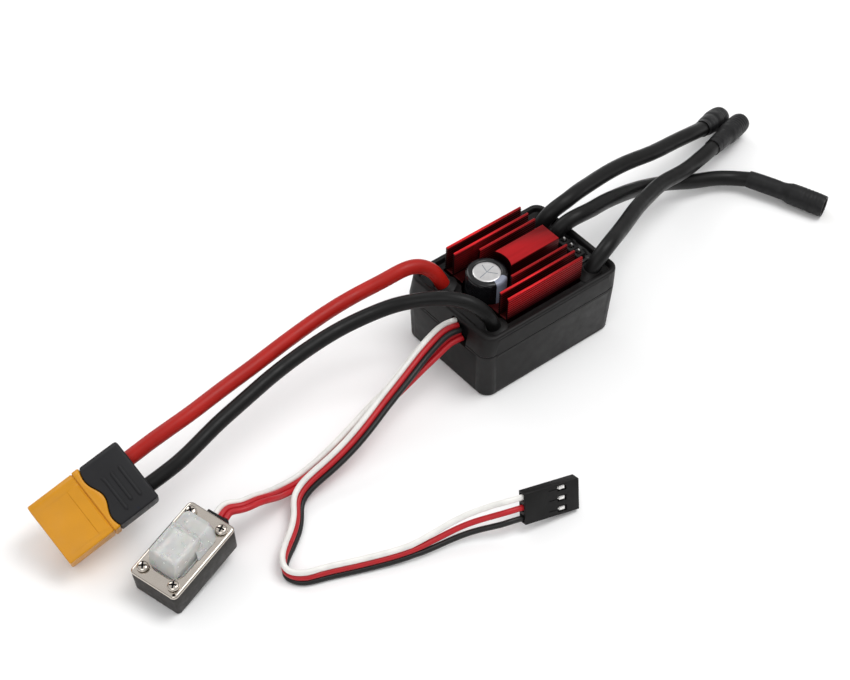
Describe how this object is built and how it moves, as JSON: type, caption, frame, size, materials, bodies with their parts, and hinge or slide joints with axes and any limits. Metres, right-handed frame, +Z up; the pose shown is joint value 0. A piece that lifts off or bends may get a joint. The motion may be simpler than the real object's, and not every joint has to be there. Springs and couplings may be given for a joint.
{
  "type": "electronic speed controller",
  "caption": "Finned brushless motor speed controller with power lead, motor leads, receiver lead and a switch box with slide switch and set button.",
  "frame": {"origin": "centre of the case underside", "axes": "+X from the battery lead end to the motor lead end, +Z up, -Y the long side with the plain label panel"},
  "size_m": [0.2207, 0.0774, 0.0265],
  "materials": {
    "case_plastic": "satin moulded, fine grain",
    "sink_red": "red anodised",
    "can_metal": "bright, scored top",
    "can_film": "printed shrink film",
    "soft_black": "matte",
    "potting": "glossy lumps",
    "wire_black": "satin silicone",
    "wire_red": "satin silicone",
    "heat_shrink": "satin shrink tube",
    "ribbon": "satin, cores white, red and black",
    "plug_amber": "satin nylon",
    "sheath_grey": "satin",
    "plug_black": "satin",
    "gold": "gold plated",
    "contact_steel": "tin plated",
    "switch_dark": "satin",
    "nickel": "nickel plated",
    "boot_silicone": "translucent, frosted",
    "board": "solder mask",
    "chip": "moulded",
    "pad_grey": "matte",
    "knob_white": "smooth",
    "led_clear": "clear"
  },
  "bodies": {
    "controller": {"case_tub": "case_plastic", "case_cover": "case_plastic", "heat_sink": "sink_red", "thermal_pad": "pad_grey", "capacitor_sleeve": "can_film", "capacitor_can": "can_metal", "capacitor_bung": "soft_black", "ribbon_grommet": "soft_black", "switch_gland": "soft_black", "motor_potting": "potting", "port_housing": "plug_black", "servo_plug": "plug_black", "button_body": "plug_black", "port_pin_1": "gold", "port_pin_2": "gold", "port_pin_3": "gold", "plug_pin_positive": "gold", "plug_pin_negative": "gold", "motor_socket_a": "gold", "motor_socket_b": "gold", "motor_socket_c": "gold", "power_board": "board", "control_board": "board", "switch_board": "board", "power_stage_a": "chip", "power_stage_b": "chip", "power_stage_c": "chip", "processor": "chip", "gate_driver": "chip", "regulator": "chip", "plug_body": "plug_amber", "plug_sheath": "sheath_grey", "servo_contact_1": "contact_steel", "servo_contact_2": "contact_steel", "servo_contact_3": "contact_steel", "slide_switch": "contact_steel", "switch_base": "switch_dark", "switch_plate": "nickel", "switch_screw_1": "nickel", "switch_screw_2": "nickel", "switch_screw_3": "nickel", "switch_screw_4": "nickel", "switch_boot": "boot_silicone", "status_led": "led_clear", "power_wire_red": "wire_red", "power_wire_black": "wire_black", "motor_wire_a": "wire_black", "motor_wire_b": "wire_black", "motor_wire_c": "wire_black", "motor_sleeve_a": "heat_shrink", "motor_sleeve_b": "heat_shrink", "motor_sleeve_c": "heat_shrink", "signal_ribbon": "ribbon", "switch_ribbon": "ribbon"},
    "switch_lever": {"switch_lever": "knob_white"},
    "set_button": {"set_button": "soft_black"}
  },
  "joints": [
    {"name": "switch_slide", "type": "slide", "parent": "controller", "child": "switch_lever", "axis": [0.9514, 0.2482, 0.1822], "range_m": [0, 0.002]},
    {"name": "set_press", "type": "slide", "parent": "controller", "child": "set_button", "axis": [-0.1661, -0.0845, 0.9825], "range_m": [-0.0003, 0], "stiffness_N_per_m": 1200, "springref_m": 0.0001}
  ]
}
